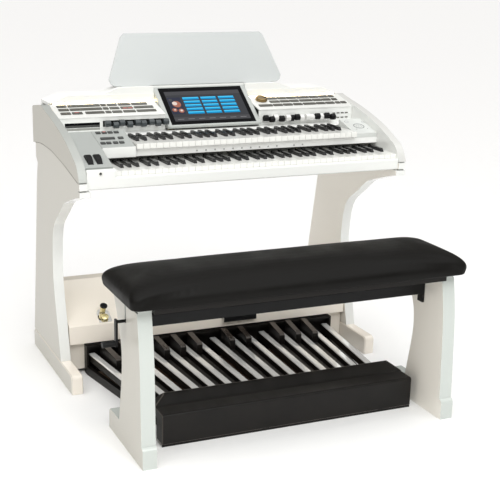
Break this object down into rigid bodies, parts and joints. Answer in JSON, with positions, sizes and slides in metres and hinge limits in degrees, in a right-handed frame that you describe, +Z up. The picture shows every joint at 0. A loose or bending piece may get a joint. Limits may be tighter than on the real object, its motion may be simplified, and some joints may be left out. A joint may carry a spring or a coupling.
{
  "type": "electronic organ",
  "caption": "White electronic home organ with stacked keyboards, sloped control panels, touch display, clear music desk, pedalboard, swell pedal and a padded bench.",
  "frame": {"origin": "on the floor under the pedalboard's base, midway between the console's sides and level with the front ends of the foot runners", "axes": "+X to the player's right, +Y away from the player towards the back panel, +Z up"},
  "size_m": [1.241, 1.182, 1.2062],
  "materials": {
    "white_lacquer": "white high-gloss lacquer over board",
    "silver_grey": "satin silver-grey",
    "ivory_plastic": "polished key plastic",
    "black_plastic": "satin black moulding",
    "bronze": "dark bronze, turned",
    "lamp": "warm white diffuser",
    "screen_glass": "dark cover glass",
    "acrylic": "frosted acrylic sheet",
    "chrome": "polished",
    "black_wood": "satin black paint",
    "pedal_metal": "polished cap",
    "rosewood": "dark polished hardwood",
    "black_metal": "satin black",
    "black_leather": "smooth black upholstery leather"
  },
  "bodies": {
    "organ": {"cheek_left": "white_lacquer", "cheek_right": "white_lacquer", "leg_left": "white_lacquer", "leg_right": "white_lacquer", "foot_left": "white_lacquer", "foot_right": "white_lacquer", "keybed": "white_lacquer", "upper_deck": "white_lacquer", "drawbar_panel_left": "white_lacquer", "drawbar_panel_right": "white_lacquer", "button_panel_left": "white_lacquer", "button_panel_right": "white_lacquer", "top_lid": "white_lacquer", "back_panel": "white_lacquer", "pedal_cabinet": "white_lacquer", "bench_panel_left": "white_lacquer", "bench_panel_right": "white_lacquer", "wheel_block": "silver_grey", "preset_block": "silver_grey", "touch_block": "silver_grey", "display_housing": "silver_grey", "lower_manual": "ivory_plastic", "upper_manual": "ivory_plastic", "inlet_plate": "black_plastic", "lamp_strip": "lamp", "display_glass": "screen_glass", "toe_switch_plate": "chrome", "pedalboard_frame": "black_wood", "heel_board": "black_wood"},
    "bench_seat": {"bench_crossbeam": "black_metal", "bench_seat_board": "black_wood", "bench_cushion": "black_leather"},
    "lower_manual_key_1": {"lower_manual_key_1": "ivory_plastic"},
    "lower_manual_key_2": {"lower_manual_key_2": "ivory_plastic"},
    "lower_manual_key_3": {"lower_manual_key_3": "ivory_plastic"},
    "lower_manual_key_4": {"lower_manual_key_4": "ivory_plastic"},
    "lower_manual_key_5": {"lower_manual_key_5": "ivory_plastic"},
    "lower_manual_key_6": {"lower_manual_key_6": "ivory_plastic"},
    "lower_manual_key_7": {"lower_manual_key_7": "ivory_plastic"},
    "pedal_1": {"pedal_1": "pedal_metal"},
    "pedal_2": {"pedal_2": "rosewood"},
    "pedal_3": {"pedal_3": "pedal_metal"},
    "pedal_4": {"pedal_4": "rosewood"},
    "pedal_5": {"pedal_5": "pedal_metal"},
    "pedal_6": {"pedal_6": "pedal_metal"},
    "pedal_7": {"pedal_7": "rosewood"},
    "pedal_8": {"pedal_8": "pedal_metal"},
    "pedal_9": {"pedal_9": "rosewood"},
    "pedal_10": {"pedal_10": "pedal_metal"},
    "pedal_11": {"pedal_11": "rosewood"},
    "pedal_12": {"pedal_12": "pedal_metal"},
    "swell_pedal": {"swell_pedal": "black_plastic"},
    "toe_piston_lower": {"toe_piston_lower": "chrome"},
    "toe_piston_upper": {"toe_piston_upper": "chrome"},
    "data_dial": {"data_dial": "bronze"},
    "pitch_wheel": {"pitch_wheel": "black_plastic"},
    "mod_wheel": {"mod_wheel": "black_plastic"},
    "music_desk": {"music_desk": "acrylic"},
    "bench_crank": {"bench_crank": "black_metal"}
  },
  "joints": [
    {"name": "key_1_press", "type": "hinge", "parent": "organ", "child": "lower_manual_key_1", "pos_m": [0, 0.125, 0.791], "axis": [1, 0, 0], "range_deg": [0, 2.35], "stiffness_Nm_per_rad": 2, "springref_deg": -8.59},
    {"name": "key_2_press", "type": "hinge", "parent": "organ", "child": "lower_manual_key_2", "pos_m": [0, 0.125, 0.791], "axis": [1, 0, 0], "range_deg": [0, 2.35], "stiffness_Nm_per_rad": 2, "springref_deg": -8.59},
    {"name": "key_3_press", "type": "hinge", "parent": "organ", "child": "lower_manual_key_3", "pos_m": [0, 0.125, 0.791], "axis": [1, 0, 0], "range_deg": [0, 2.35], "stiffness_Nm_per_rad": 2, "springref_deg": -8.59},
    {"name": "key_4_press", "type": "hinge", "parent": "organ", "child": "lower_manual_key_4", "pos_m": [0, 0.125, 0.791], "axis": [1, 0, 0], "range_deg": [0, 2.35], "stiffness_Nm_per_rad": 2, "springref_deg": -8.59},
    {"name": "key_5_press", "type": "hinge", "parent": "organ", "child": "lower_manual_key_5", "pos_m": [0, 0.125, 0.791], "axis": [1, 0, 0], "range_deg": [0, 2.35], "stiffness_Nm_per_rad": 2, "springref_deg": -8.59},
    {"name": "key_6_press", "type": "hinge", "parent": "organ", "child": "lower_manual_key_6", "pos_m": [0, 0.125, 0.791], "axis": [1, 0, 0], "range_deg": [0, 2.35], "stiffness_Nm_per_rad": 2, "springref_deg": -8.59},
    {"name": "key_7_press", "type": "hinge", "parent": "organ", "child": "lower_manual_key_7", "pos_m": [0, 0.125, 0.791], "axis": [1, 0, 0], "range_deg": [0, 2.35], "stiffness_Nm_per_rad": 2, "springref_deg": -8.59},
    {"name": "pedal_1_press", "type": "hinge", "parent": "organ", "child": "pedal_1", "pos_m": [0, -0.43, 0.049], "axis": [-1, 0, 0], "range_deg": [0, 1.5], "stiffness_Nm_per_rad": 60, "springref_deg": -5.73},
    {"name": "pedal_2_press", "type": "hinge", "parent": "organ", "child": "pedal_2", "pos_m": [0.0291, -0.43, 0.049], "axis": [-1, 0.0085, 0], "range_deg": [0, 1.5], "stiffness_Nm_per_rad": 60, "springref_deg": -5.73},
    {"name": "pedal_3_press", "type": "hinge", "parent": "organ", "child": "pedal_3", "pos_m": [0.0582, -0.43, 0.049], "axis": [-0.9999, 0.017, 0], "range_deg": [0, 1.5], "stiffness_Nm_per_rad": 60, "springref_deg": -5.73},
    {"name": "pedal_4_press", "type": "hinge", "parent": "organ", "child": "pedal_4", "pos_m": [0.0873, -0.43, 0.049], "axis": [-0.9997, 0.0255, 0], "range_deg": [0, 1.5], "stiffness_Nm_per_rad": 60, "springref_deg": -5.73},
    {"name": "pedal_5_press", "type": "hinge", "parent": "organ", "child": "pedal_5", "pos_m": [0.1164, -0.43, 0.049], "axis": [-0.9994, 0.034, 0], "range_deg": [0, 1.5], "stiffness_Nm_per_rad": 60, "springref_deg": -5.73},
    {"name": "pedal_6_press", "type": "hinge", "parent": "organ", "child": "pedal_6", "pos_m": [0.1746, -0.43, 0.049], "axis": [-0.9987, 0.051, 0], "range_deg": [0, 1.5], "stiffness_Nm_per_rad": 60, "springref_deg": -5.73},
    {"name": "pedal_7_press", "type": "hinge", "parent": "organ", "child": "pedal_7", "pos_m": [0.2037, -0.43, 0.049], "axis": [-0.9982, 0.0595, 0], "range_deg": [0, 1.5], "stiffness_Nm_per_rad": 60, "springref_deg": -5.73},
    {"name": "pedal_8_press", "type": "hinge", "parent": "organ", "child": "pedal_8", "pos_m": [0.2328, -0.43, 0.049], "axis": [-0.9977, 0.0679, 0], "range_deg": [0, 1.5], "stiffness_Nm_per_rad": 60, "springref_deg": -5.73},
    {"name": "pedal_9_press", "type": "hinge", "parent": "organ", "child": "pedal_9", "pos_m": [0.2619, -0.43, 0.049], "axis": [-0.9971, 0.0764, 0], "range_deg": [0, 1.5], "stiffness_Nm_per_rad": 60, "springref_deg": -5.73},
    {"name": "pedal_10_press", "type": "hinge", "parent": "organ", "child": "pedal_10", "pos_m": [0.291, -0.43, 0.049], "axis": [-0.9964, 0.0849, 0], "range_deg": [0, 1.5], "stiffness_Nm_per_rad": 60, "springref_deg": -5.73},
    {"name": "pedal_11_press", "type": "hinge", "parent": "organ", "child": "pedal_11", "pos_m": [0.3201, -0.43, 0.049], "axis": [-0.9956, 0.0934, 0], "range_deg": [0, 1.5], "stiffness_Nm_per_rad": 60, "springref_deg": -5.73},
    {"name": "pedal_12_press", "type": "hinge", "parent": "organ", "child": "pedal_12", "pos_m": [0.3492, -0.43, 0.049], "axis": [-0.9948, 0.1018, 0], "range_deg": [0, 1.5], "stiffness_Nm_per_rad": 60, "springref_deg": -5.73},
    {"name": "swell_tilt", "type": "hinge", "parent": "organ", "child": "swell_pedal", "pos_m": [0.105, 0.18869, 0.19377], "axis": [-1, 0, 0], "range_deg": [0, 15]},
    {"name": "toe_piston_lower_press", "type": "slide", "parent": "organ", "child": "toe_piston_lower", "axis": [0, 0.4925, -0.8703], "range_m": [0, 0.004], "stiffness_N_per_m": 800, "springref_m": -0.004},
    {"name": "toe_piston_upper_press", "type": "slide", "parent": "organ", "child": "toe_piston_upper", "axis": [0, 0.4925, -0.8703], "range_m": [0, 0.004], "stiffness_N_per_m": 800, "springref_m": -0.004},
    {"name": "dial_turn", "type": "hinge", "parent": "organ", "child": "data_dial", "pos_m": [0.231, 0.2961, 0.96056], "axis": [0, -0.2425, 0.9701], "continuous": true},
    {"name": "pitch_wheel_turn", "type": "hinge", "parent": "organ", "child": "pitch_wheel", "pos_m": [-0.549, -0.054, 0.81625], "axis": [1, 0, 0], "range_deg": [-50, 50], "stiffness_Nm_per_rad": 0.3},
    {"name": "mod_wheel_turn", "type": "hinge", "parent": "organ", "child": "mod_wheel", "pos_m": [-0.5187, -0.054, 0.81625], "axis": [1, 0, 0], "range_deg": [-50, 50]},
    {"name": "desk_lift_out", "type": "slide", "parent": "organ", "child": "music_desk", "axis": [0, 0.304, 0.9527], "range_m": [0, 0.05]},
    {"name": "bench_lift", "type": "slide", "parent": "organ", "child": "bench_seat", "axis": [0, 0, 1], "range_m": [0, 0.042]},
    {"name": "bench_crank_turn", "type": "hinge", "parent": "bench_seat", "child": "bench_crank", "pos_m": [-0.574, -0.47, 0.424], "axis": [-1, 0, 0], "range_deg": [0, 1081]}
  ],
  "couplings": [
    {"joint": "bench_crank_turn", "follows": "bench_lift", "rad_per_m": 448.8}
  ]
}
